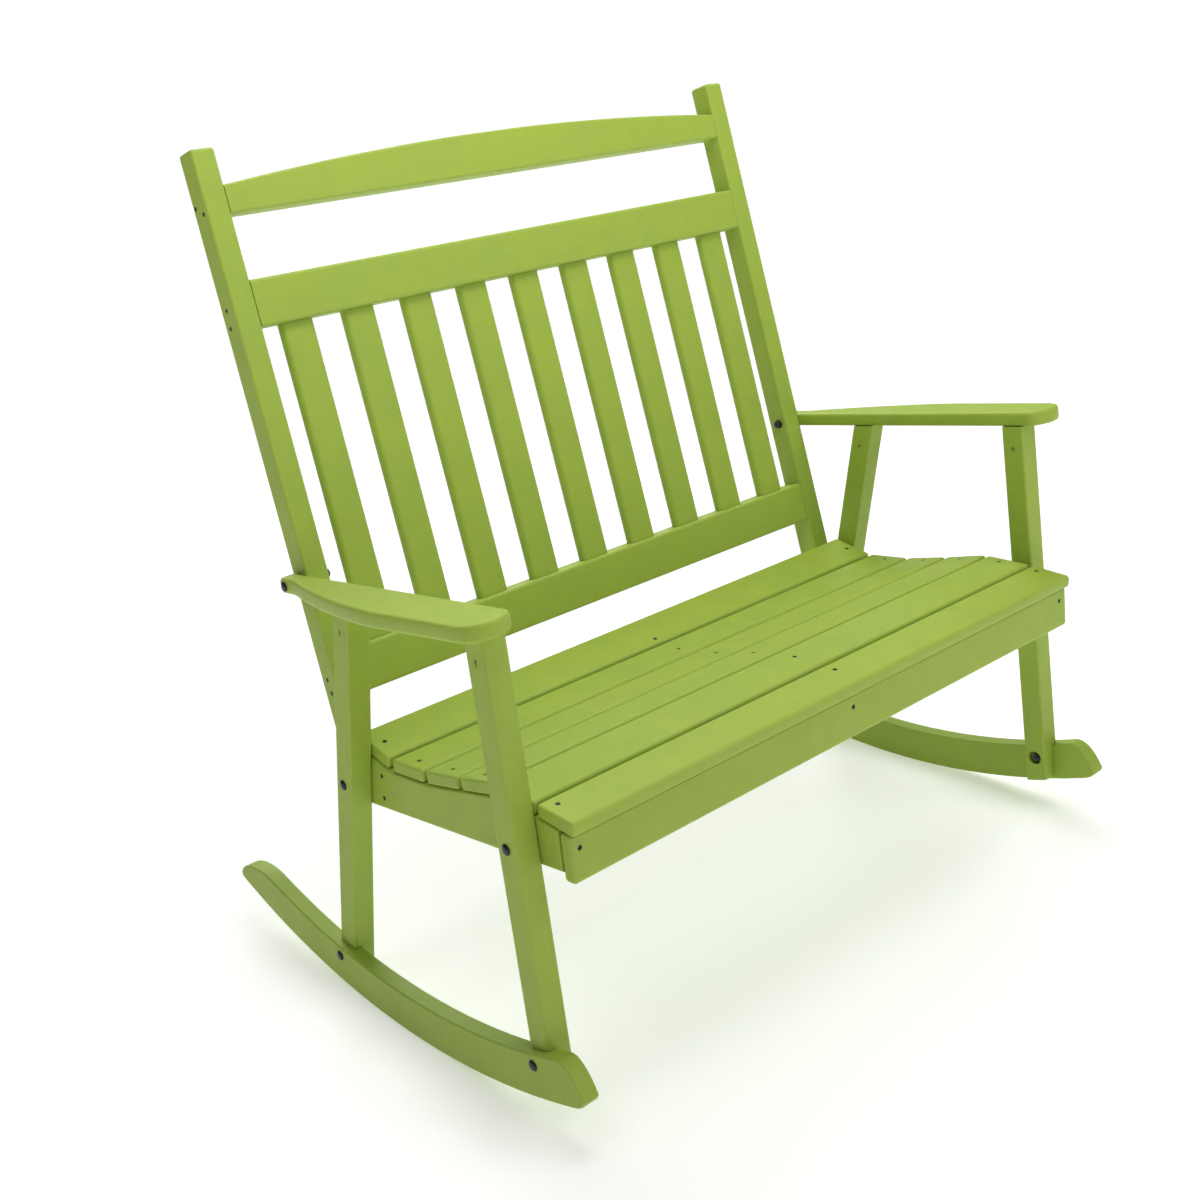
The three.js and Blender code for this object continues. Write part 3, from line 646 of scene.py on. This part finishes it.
@dataclass
class TrimScrew:
    """A small flat-headed screw with a square drive, driven a little below the face."""

    head_radius: float = 3.5 * MM
    head_height: float = 2.3 * MM
    neck_radius: float = 1.7 * MM
    neck_length: float = 2.0 * MM
    sink: float = 0.3 * MM
    rim: float = 0.15 * MM
    drive_width: float = 2.4 * MM
    drive_depth: float = 1.3 * MM
    drive_tip_share: float = 0.7
    drive_straight_share: float = 0.8
    drive_sides: int = 4
    hole_margin: float = 0.25 * MM
    hole_reach_share: float = 1.5
    mouth_flare_share: float = 0.5
    mouth_lip_share: float = 0.25
    sides: int = 24
    smooth_angle: float = 35.0
    finish: SteelFinish = DARK_SCREW
    model: bpy.types.Object = field(init=False, repr=False, compare=False)
    coat: bpy.types.Material = field(init=False, repr=False, compare=False)

    def build(self) -> None:
        """Models the head and neck once, with the board's face at z = 0."""
        top = -self.sink
        self.model = Bench.turned("screw_model", [
            (self.neck_radius, top - self.head_height - self.neck_length),
            (self.neck_radius, top - self.head_height),
            (self.head_radius - self.rim, top - 3.0 * self.rim),
            (self.head_radius, top - 2.0 * self.rim),
            (self.head_radius, top - self.rim),
            (self.head_radius - self.rim, top),
        ], self.sides)
        half = 0.5 * self.drive_width
        corner = math.sqrt(2.0) * half
        Bench.cut(self.model, Bench.turned("drive", [
            (self.drive_tip_share * half, top - self.drive_depth),
            (corner, top - self.drive_straight_share * self.drive_depth),
            (corner, top + self.drive_depth),
        ], self.drive_sides))
        Bench.only(self.model)
        bpy.ops.object.shade_smooth_by_angle(angle=math.radians(self.smooth_angle))
        self.coat = self.finish.material()

    def cutter(self, place: Matrix) -> bpy.types.Object:
        """Makes the cone that countersinks a board for one screw.

        Args:
            place: Where the screw sits.

        Returns:
            The cutter.
        """
        neck = self.neck_radius + self.hole_margin
        head = self.head_radius + self.hole_margin
        mouth = head + self.mouth_flare_share * self.sink
        lip = self.mouth_lip_share * self.sink
        cone = Bench.turned("countersink", [
            (neck, -self.sink - self.head_height - self.hole_reach_share * self.neck_length),
            (neck, -self.sink - self.head_height),
            (head, -self.sink - self.rim),
            (head, -lip),
            (mouth, lip),
            (mouth, self.sink),
        ], self.sides)
        cone.data.transform(place)
        return cone

    def drive_in(self, name: str, place: Matrix) -> None:
        """Drives one screw in.

        Args:
            name: The screw's name.
            place: Where it sits.
        """
        Bench.dress(Bench.copy_of(self.model, name, place), self.coat, STEEL_SLOT)

    def clear(self) -> None:
        """Throws the model away."""
        bpy.data.objects.remove(self.model)


@dataclass(frozen=True)
class Seat:
    """One screw's place on a face, and the way that the face looks."""

    name: str
    screw: TrimScrew
    point: Vector
    normal: Vector

    def matrix(self) -> Matrix:
        """The placing of a model whose face is at z = 0 and looks along +Z."""
        turn = Vector((0.0, 0.0, 1.0)).rotation_difference(self.normal).to_matrix().to_4x4()
        return Matrix.Translation(self.point) @ turn


@dataclass
class BoardShop:
    """Copies CAD boards, eases their sharp edges and countersinks their screws."""

    sharp_angle: float = 50.0
    flat_angle: float = 0.6
    weld: float = 0.02 * MM
    arris_steps: int = 3
    broad_width: float = 4.5 * MM
    batch_share: float = 0.618034
    made: int = 0
    looks: Dict[Grain, bpy.types.Material] = field(default_factory=dict)

    def finish(self, grain: Grain) -> bpy.types.Material:
        """Gives the lumber finish for one grain, made once.

        Args:
            grain: The way that the streaks run.

        Returns:
            The material.
        """
        if grain not in self.looks:
            self.looks[grain] = LUMBER.material(grain)
        return self.looks[grain]

    def make(self, node: str, grain: Grain, seats: Sequence[Seat] = (),
             arris: float = 0.8 * MM) -> None:
        """Makes one board and drives its screws.

        Args:
            node: The CAD node that it stands for.
            grain: The way that its streaks run.
            seats: The screws that go into it.
            arris: How broadly its sharp edges are eased.
        """
        board = Bench.copy_of(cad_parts[node], f"{node}_board", Matrix.Identity(4))
        Bench.only(board)
        bpy.ops.object.mode_set(mode="EDIT")
        bpy.ops.mesh.select_all(action="SELECT")
        bpy.ops.mesh.remove_doubles(threshold=self.weld)
        bpy.ops.mesh.dissolve_limited(angle_limit=math.radians(self.flat_angle))
        bpy.ops.mesh.select_all(action="DESELECT")
        bpy.ops.mesh.edges_select_sharp(sharpness=math.radians(self.sharp_angle))
        bpy.ops.mesh.bevel(offset=arris, segments=self.arris_steps, profile=0.5,
                           clamp_overlap=True)
        bpy.ops.object.mode_set(mode="OBJECT")
        if seats:
            cutters = [seat.screw.cutter(seat.matrix()) for seat in seats]
            Bench.cut(board, Bench.joined("countersinks", cutters))
        self.dress(board, grain)
        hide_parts(node)
        for seat in seats:
            seat.screw.drive_in(seat.name, seat.matrix())

    def dress(self, board: bpy.types.Object, grain: Grain) -> None:
        """Marks, smooths and dresses a finished board.

        Args:
            board: The board.
            grain: The way that its streaks run.
        """
        self.mark(board)
        Bench.smooth(board, self.sharp_angle)
        Bench.dress(board, self.finish(grain), LUMBER_SLOT)

    def mark(self, board: bpy.types.Object) -> None:
        """Writes where the board's rounded edges are, and a number of its own for its tone.

        Args:
            board: The board.
        """
        mesh = board.data
        points = mesh.vertices
        arrises = [1.0] * len(points)
        for face in mesh.polygons:
            longest = max((points[a].co - points[b].co).length for a, b in face.edge_keys)
            if face.area > self.broad_width * longest:
                for vertex in face.vertices:
                    arrises[vertex] = 0.0
        self.made += 1
        tone = self.made * self.batch_share % 1.0
        tones = [tone] * len(points)
        for name, values in ((ARRIS_ATTRIBUTE, arrises), (BATCH_ATTRIBUTE, tones)):
            mesh.attributes.new(name, "FLOAT", "POINT").data.foreach_set("value", values)


@dataclass
class SeatBoards:
    """The six boards of the seat, each held by three screws.

    Each entry of tops has a depth, the height of the board's top there, and its rise to the back in
    degrees.
    """

    shop: BoardShop
    screw: TrimScrew
    outer_across: float = 513.0
    middle_across: Tuple[float, ...] = (2.0, -8.0, -8.0, -3.0, 6.0, 8.0)
    outer_depths: Tuple[float, ...] = (46.0, -38.0, -119.0, -194.0, -270.0, -339.0)
    middle_depths: Tuple[float, ...] = (23.0, -40.0, -122.0, -195.0, -268.0, -340.0)
    tops: Tuple[Tuple[float, float, float], ...] = (
        (84.0, 424.0, 14.0), (4.28, 405.09, -3.9), (-77.5, 410.98, -10.0),
        (-158.24, 425.28, -11.2), (-238.78, 440.49, 2.6), (-320.68, 436.59, 6.2),
    )

    def build(self) -> None:
        """Makes the boards."""
        for index, (back, level, rise) in enumerate(self.tops):
            slope = math.radians(rise)
            normal = DRAWN.way(0.0, -math.sin(slope), math.cos(slope))
            rows = (
                ("left", self.outer_across, self.outer_depths[index]),
                ("middle", self.middle_across[index], self.middle_depths[index]),
                ("right", -self.outer_across, self.outer_depths[index]),
            )
            seats = []
            for row, across, depth in rows:
                height = level + (depth - back) * math.tan(slope)
                point = DRAWN.point(across * MM, depth * MM, height * MM)
                seats.append(Seat(f"seat_screw_{index + 1}_{row}", self.screw, point, normal))
            self.shop.make(f"seat_board_{index + 1}", Grain.ACROSS, seats)


@dataclass
class SeatFrame:
    """The rails, the apron and the stretcher under the seat.

    Each entry of rail_places has the depth and height of a screw.
    """

    shop: BoardShop
    screw: TrimScrew
    apron_face: float = -378.29
    apron_height: float = 390.0
    apron_across: Tuple[float, ...] = (513.0, -3.0, -518.0)
    rail_face: float = 533.2
    rail_places: Tuple[Tuple[float, float], ...] = ((35.0, 371.0), (37.5, 335.5))

    def build(self) -> None:
        """Makes the frame's boards."""
        seats = []
        for row, across in zip(("left", "middle", "right"), self.apron_across):
            point = DRAWN.point(across * MM, self.apron_face * MM, self.apron_height * MM)
            seats.append(Seat(f"apron_screw_{row}", self.screw, point, DRAWN.way(0.0, -1.0, 0.0)))
        self.shop.make("front_apron", Grain.ACROSS, seats)
        self.shop.make("rear_stretcher", Grain.ACROSS)
        self.shop.make("middle_seat_rail", Grain.DEEP)
        for side in Side:
            seats = []
            for index, (depth, height) in enumerate(self.rail_places):
                point = DRAWN.point(side.value * self.rail_face * MM, depth * MM, height * MM)
                seats.append(Seat(f"rail_screw_{index + 1}_{side.label}", self.screw, point,
                                  side.outwards))
            self.shop.make(f"side_seat_rail_{side.label}", Grain.DEEP, seats)


@dataclass
class BackRest:
    """The posts, the three rails between them and the nine slats.

    Each entry of post_places says how far up the post's front face, and how far behind that face, a
    screw is.
    """

    shop: BoardShop
    screw: TrimScrew
    slat_count: int = 9
    slat_size: Tuple[float, float, float] = (56.0 * MM, 18.0 * MM, 478.4 * MM)
    slat_round: float = 8.0 * MM
    slat_steps: int = 7
    post_face: float = 533.2
    post_arris: float = 2.5 * MM
    post_places: Tuple[Tuple[float, float], ...] = (
        (772.3, 31.3), (760.1, 11.6), (623.4, 21.9), (598.0, 24.2), (74.8, 22.6), (54.2, 20.1),
    )

    def build(self) -> None:
        """Makes the back's boards."""
        for side in Side:
            seats = []
            for index, (up, behind) in enumerate(self.post_places):
                point = DRAWN.on_back(side.value * self.post_face * MM, up * MM, behind * MM)
                seats.append(Seat(f"post_screw_{index + 1}_{side.label}", self.screw, point,
                                  side.outwards))
            self.shop.make(f"back_post_{side.label}", Grain.UPRIGHT, seats, self.post_arris)
        for rail in ("lower_back_rail", "upper_back_rail", "crest_rail"):
            self.shop.make(rail, Grain.ACROSS)
        self.slats()

    def slats(self) -> None:
        """Models one slat with broadly rounded edges, and stands a copy in each slat's place."""
        model = Bench.block("slat_model", self.slat_size)
        bpy.ops.object.mode_set(mode="EDIT")
        Bench.pick_edges(model, lambda a, b: abs(a.z - b.z) > self.slat_round)
        bpy.ops.mesh.bevel(offset=self.slat_round, segments=self.slat_steps, profile=0.5)
        bpy.ops.object.mode_set(mode="OBJECT")
        turn = Matrix.Rotation(-DRAWN.back_lean - DRAWN.lean, 4, "X")
        for index in range(self.slat_count):
            node = f"back_slat_{index + 1}"
            low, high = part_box(node)
            place = Matrix.Translation(0.5 * (low + high)) @ turn
            board = Bench.copy_of(model, f"{node}_board", place)
            self.shop.dress(board, Grain.UPRIGHT)
            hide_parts(node)
        bpy.data.objects.remove(model)


@dataclass
class SideFrame:
    """One side's rocker, arm and legs, with the slanting pocket screws that hold the arm down.

    Each entry of pockets has the leg, its lean in degrees, and a pocket's depth and height.
    """

    shop: BoardShop
    screw: TrimScrew
    side: Side
    outer_face: float = 571.0
    inner_face: float = 533.5
    pocket_lean: float = math.radians(30.0)
    pocket_rise: float = 8.0 * MM
    pockets: Tuple[Tuple[str, float, float, float], ...] = (
        ("front", 2.35, -290.0, 625.6), ("back", -13.85, 20.6, 602.0),
    )

    def build(self) -> None:
        """Makes the side's boards."""
        self.shop.make(f"rocker_{self.side.label}", Grain.DEEP)
        self.shop.make(f"arm_{self.side.label}", Grain.DEEP)
        for leg, lean, depth, height in self.pockets:
            seats = [self.pocket(leg, math.radians(lean), outer, (depth, height))
                     for outer in (True, False)]
            self.shop.make(f"{leg}_leg_{self.side.label}", Grain.UPRIGHT, seats)

    def pocket(self, leg: str, lean: float, outer: bool, place: Tuple[float, float]) -> Seat:
        """Finds the floor of one of a leg's pockets.

        Args:
            leg: The leg's name.
            lean: The leg's lean in radians.
            outer: Whether the pocket is in the outer face.
            place: Depth and height of the pocket's middle, as drawn.

        Returns:
            The screw's seat, looking down the pocket.
        """
        way_out = self.side.value if outer else -self.side.value
        face = self.outer_face if outer else self.inner_face
        rise = math.cos(self.pocket_lean)
        along = DRAWN.way(-way_out * math.sin(self.pocket_lean), rise * math.sin(lean),
                          rise * math.cos(lean))
        depth, height = place
        mouth = DRAWN.point(self.side.value * face * MM, depth * MM, height * MM)
        name = f"{leg}_pocket_screw_{'outer' if outer else 'inner'}_{self.side.label}"
        return Seat(name, self.screw, mouth + along * self.pocket_rise, -along)


@dataclass
class BoltSet:
    """One side's carriage bolts, nuts and washers, each in its CAD node's place."""

    side: Side
    joints: Tuple[str, ...] = ("arm", "front_rail", "back_rail", "front_rocker", "back_rocker")
    head_radius: float = 7.6 * MM
    head_height: float = 3.8 * MM
    rim_height: float = 0.7 * MM
    rim_round: float = 0.3 * MM
    shank_radius: float = 3.15 * MM
    thread_root: float = 2.65 * MM
    thread_pitch: float = 1.27 * MM
    thread_turns: int = 8
    crest_shares: Tuple[float, float] = (0.4, 0.6)
    end_chamfer: float = 0.5 * MM
    dome_steps: int = 9
    dome_flat_share: float = 0.1
    smooth_angle: float = 40.0
    sides: int = 40
    nut_sides: int = 6
    nut_flats: float = 11.1 * MM
    nut_height: float = 5.6 * MM
    nut_chamfer: float = 0.85 * MM
    chamfer_rise_share: float = 0.55
    nut_sharp_angle: float = 25.0
    washer_radius: float = 8.0 * MM
    washer_thickness: float = 1.6 * MM
    washer_round: float = 0.25 * MM
    bore: float = 3.25 * MM
    bore_overrun: float = 1.0 * MM
    lead_width: float = 0.9 * MM
    lead_depths: Tuple[float, float] = (-0.4 * MM, 0.5 * MM)
    overlap: float = 0.01 * MM

    def build(self) -> None:
        """Makes the bolts and nuts."""
        black = BLACK_BOLT.material()
        grey = GREY_NUT.material()
        nut = self.nut()
        for joint in self.joints:
            self.bolt(joint, black)
            node = f"{joint}_nut_{self.side.label}"
            piece = Bench.copy_of(nut, f"{node}_steel", self.seat_of(node))
            Bench.dress(piece, grey, STEEL_SLOT)
            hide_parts(node)
        bpy.data.objects.remove(nut)

    def seat_of(self, node: str) -> Matrix:
        """Finds the placing of a model that stands on a node's inner end and points outwards.

        Args:
            node: The CAD node.

        Returns:
            The placing.
        """
        low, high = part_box(node)
        inner = min(abs(low.x), abs(high.x)) * self.side.value
        turn = Matrix.Rotation(self.side.value * math.radians(90.0), 4, "Y")
        return Matrix.Translation((inner, 0.5 * (low.y + high.y), 0.5 * (low.z + high.z))) @ turn

    def bolt(self, joint: str, finish: bpy.types.Material) -> None:
        """Makes one bolt from its threaded end to its domed head.

        Args:
            joint: The joint that it holds.
            finish: Its material.
        """
        node = f"{joint}_bolt_{self.side.label}"
        low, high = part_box(node)
        length = high.x - low.x
        neck = length - self.head_height
        pitch = self.thread_pitch
        crest_start, crest_end = self.crest_shares
        rings = [(self.thread_root - self.end_chamfer, 0.0), (self.thread_root, self.end_chamfer)]
        for coil in range(self.thread_turns):
            start = self.end_chamfer + coil * pitch
            rings += [
                (self.shank_radius, start + crest_start * pitch),
                (self.shank_radius, start + crest_end * pitch),
                (self.thread_root, start + pitch),
            ]
        rings += [
            (self.shank_radius, rings[-1][1] + crest_start * pitch),
            (self.shank_radius, neck),
            (self.head_radius - self.rim_round, neck),
            (self.head_radius, neck + self.rim_round),
            (self.head_radius, neck + self.rim_height),
        ]
        for step in range(1, self.dome_steps):
            turn = math.radians(90.0) * step / self.dome_steps
            rise = (self.head_height - self.rim_height) * math.sin(turn)
            rings.append((self.head_radius * math.cos(turn), neck + self.rim_height + rise))
        rings.append((self.dome_flat_share * self.head_radius, length))
        piece = Bench.turned(f"{node}_steel", rings, self.sides)
        piece.data.transform(self.seat_of(node))
        Bench.only(piece)
        bpy.ops.object.shade_smooth_by_angle(angle=math.radians(self.smooth_angle))
        Bench.dress(piece, finish, STEEL_SLOT)
        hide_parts(node)

    def nut(self) -> bpy.types.Object:
        """Models a chamfered hexagon nut on its washer, from z = 0 outwards.

        Returns:
            The model.
        """
        corner = 0.5 * self.nut_flats / math.cos(math.radians(180.0 / self.nut_sides))
        height = self.nut_height
        round_off = corner - self.nut_chamfer
        rise = self.chamfer_rise_share * self.nut_chamfer
        hexagon = Bench.turned("nut_model", [(corner, 0.0), (corner, height)], self.nut_sides)
        Bench.cut(hexagon, Bench.turned("nut_round", [
            (round_off, -self.overlap), (corner, rise),
            (corner, height - rise), (round_off, height + self.overlap),
        ], self.sides), "INTERSECT")
        Bench.cut(hexagon, self.bore_cutter(-self.bore_overrun, height + self.bore_overrun))
        lead_start, lead_end = self.lead_depths
        Bench.cut(hexagon, Bench.turned("lead_in", [
            (self.bore + self.lead_width, lead_start), (self.bore, lead_end),
        ], self.sides))
        top = height + self.washer_thickness
        edge = self.washer_round
        washer = Bench.turned("washer_model", [
            (self.washer_radius - edge, height), (self.washer_radius, height + edge),
            (self.washer_radius, top - edge), (self.washer_radius - edge, top),
        ], self.sides)
        Bench.cut(washer, self.bore_cutter(height - self.bore_overrun, top + self.bore_overrun))
        model = Bench.joined("nut_model", [hexagon, washer])
        Bench.smooth(model, self.nut_sharp_angle)
        return model

    def bore_cutter(self, low: float, high: float) -> bpy.types.Object:
        """A plain bore between two heights."""
        return Bench.turned("bore", [(self.bore, low), (self.bore, high)], self.sides)


@dataclass(frozen=True)
class PhotoCamera:
    """The camera that took the photograph, fitted to the bench."""

    place: Tuple[float, float, float] = (-1.5096, -1.6522, 1.2600)
    heading: float = 36.483
    dip: float = 16.074
    roll: float = -7.043
    focal_px: float = 1472.9
    centre_px: Tuple[float, float] = (497.6, 532.7)
    sensor: float = 36.0

    def build(self) -> None:
        """Sets the scene's camera."""
        data = bpy.data.cameras.new("camera")
        data.sensor_width = self.sensor
        data.sensor_fit = "HORIZONTAL"
        data.lens = self.sensor * self.focal_px / PHOTO_SIDE_PX
        data.shift_x = (0.5 * PHOTO_SIDE_PX - self.centre_px[0]) / PHOTO_SIDE_PX
        data.shift_y = (self.centre_px[1] - 0.5 * PHOTO_SIDE_PX) / PHOTO_SIDE_PX
        data.dof.use_dof = False
        camera = bpy.data.objects.new("camera", data)
        turn = Euler((math.radians(90.0 - self.dip), 0.0, -math.radians(self.heading)), "XYZ")
        bank = Matrix.Rotation(math.radians(self.roll), 4, "Z")
        camera.matrix_world = Matrix.Translation(self.place) @ turn.to_matrix().to_4x4() @ bank
        bpy.context.scene.collection.objects.link(camera)
        bpy.context.scene.camera = camera


@dataclass(frozen=True)
class SoftLight:
    """A broad soft light from far away, so that it falls evenly on the floor."""

    name: str
    bearing: float
    height: float
    spread: float
    strength: float

    def build(self) -> None:
        """Hangs the light at its bearing, from the front towards +X, and its height, in degrees."""
        data = bpy.data.lights.new(self.name, "SUN")
        data.angle = math.radians(self.spread)
        data.energy = self.strength
        bearing, height = math.radians(self.bearing), math.radians(self.height)
        level = math.cos(height)
        way = Vector((math.sin(bearing) * level, -math.cos(bearing) * level, math.sin(height)))
        Studio.hang(data, (0.0, 0.0, 0.0), way)


@dataclass(frozen=True)
class SoftBox:
    """A square soft box close to the bench."""

    name: str
    place: Tuple[float, float, float]
    size: float
    power: float
    aim: Tuple[float, float, float] = (0.0, 0.0, 0.5)

    def build(self) -> None:
        """Hangs the box with its face to the bench's middle."""
        data = bpy.data.lights.new(self.name, "AREA")
        data.shape = "SQUARE"
        data.size = self.size
        data.energy = self.power
        Studio.hang(data, self.place, Vector(self.place) - Vector(self.aim))


@dataclass
class Studio:
    """A pale floor that glows to white far away, and soft lights about the bench."""

    floor_radius: float = 30.0
    floor_sides: int = 128
    floor_colour: Colour = (0.86, 0.86, 0.86, 1.0)
    glow_near: Colour = (0.40, 0.40, 0.40, 1.0)
    glow_far: Colour = (0.62, 0.62, 0.62, 1.0)
    glow_reach: Tuple[float, float] = (0.8, 3.0)
    glow_strength: float = 1.0
    paper: Noise = Noise(900.0)
    paper_roughness: float = 0.8
    paper_fibre_share: float = 0.1
    paper_sheen: float = 0.1
    room_colour: Colour = (1.0, 1.0, 1.0, 1.0)
    room_strength: float = 0.03
    backdrop_strength: float = 1.0
    lights: Tuple[SoftLight, ...] = (
        SoftLight("front_sky", 15.0, 50.0, 50.0, 0.40),
        SoftLight("right_sky", -90.0, 70.0, 45.0, 0.15),
        SoftLight("back_sky", 155.0, 40.0, 45.0, 1.60),
    )
    boxes: Tuple[SoftBox, ...] = (
        SoftBox("top_box", (0.3, 0.0, 2.8), 1.6, 19.0),
        SoftBox("over_box", (-0.2, -0.6, 2.5), 0.9, 9.0),
        SoftBox("right_box", (-1.5, -0.4, 2.3), 1.0, 5.0),
        SoftBox("front_box", (1.0, -2.0, 1.9), 1.2, 10.0),
    )

    def build(self) -> None:
        """Builds the studio."""
        self.floor()
        self.room()
        for light in self.lights + self.boxes:
            light.build()
        bpy.context.scene.view_settings.view_transform = "Standard"

    @staticmethod
    def hang(data: bpy.types.Light, place: Tuple[float, float, float], back: Vector) -> None:
        """Hangs a light.

        Args:
            data: The light.
            place: Where it hangs.
            back: The way from what it lights to the light.
        """
        lamp = bpy.data.objects.new(data.name, data)
        lamp.location = place
        lamp.rotation_euler = back.to_track_quat("Z", "Y").to_euler()
        lamp.visible_camera = False
        bpy.context.scene.collection.objects.link(lamp)

    def floor(self) -> None:
        """Lays a round pale floor under the rockers."""
        bpy.ops.object.select_all(action="DESELECT")
        bpy.ops.mesh.primitive_circle_add(vertices=self.floor_sides, radius=self.floor_radius,
                                          fill_type="NGON")
        floor = bpy.context.active_object
        floor.name = "floor"
        paper = bpy.data.materials.new("floor_paper")
        graph = Graph(paper)
        place = graph.node("ShaderNodeTexCoord", {}, {}, "Object")
        fibre = graph.noise(place, self.paper)
        reach = graph.node("ShaderNodeVectorMath", {"operation": "LENGTH"}, {0: place}, "Value")
        glow = graph.mix(reach.stretched(*self.glow_reach), self.glow_near, self.glow_far)
        graph.surface({
            "Base Color": self.floor_colour,
            "Roughness": fibre * self.paper_fibre_share + self.paper_roughness,
            "Specular IOR Level": self.paper_sheen,
            "Emission Color": glow,
            "Emission Strength": self.glow_strength,
        })
        floor.data.materials.append(paper)

    def room(self) -> None:
        """Fills the room with a little even light, and shows it white behind the bench."""
        world = bpy.data.worlds.new("white_room")
        graph = Graph(world)
        sight = graph.node("ShaderNodeLightPath", {}, {}, "Is Camera Ray")
        strength = graph.node("ShaderNodeMapRange", {}, {
            "Value": sight, "To Min": self.room_strength, "To Max": self.backdrop_strength,
        })
        sky = graph.node("ShaderNodeBackground", {},
                         {"Color": self.room_colour, "Strength": strength})
        graph.add("ShaderNodeOutputWorld", {}, {"Surface": sky})
        bpy.context.scene.world = world


def main() -> None:
    """Builds the bench's looks, then the studio and the camera."""
    logging.basicConfig(level=logging.INFO, format="%(message)s")
    face_screw = TrimScrew()
    pocket_screw = TrimScrew(head_radius=2.4 * MM, head_height=1.6 * MM, neck_radius=1.2 * MM,
                             sink=0.2 * MM, drive_width=1.8 * MM, drive_depth=0.9 * MM)
    for screw in (face_screw, pocket_screw):
        screw.build()
    shop = BoardShop()
    SeatBoards(shop, face_screw).build()
    SeatFrame(shop, face_screw).build()
    BackRest(shop, face_screw).build()
    for side in Side:
        SideFrame(shop, pocket_screw, side).build()
        BoltSet(side).build()
    for screw in (face_screw, pocket_screw):
        screw.clear()
    Studio().build()
    PhotoCamera().build()


if __name__ == "__main__":
    main()
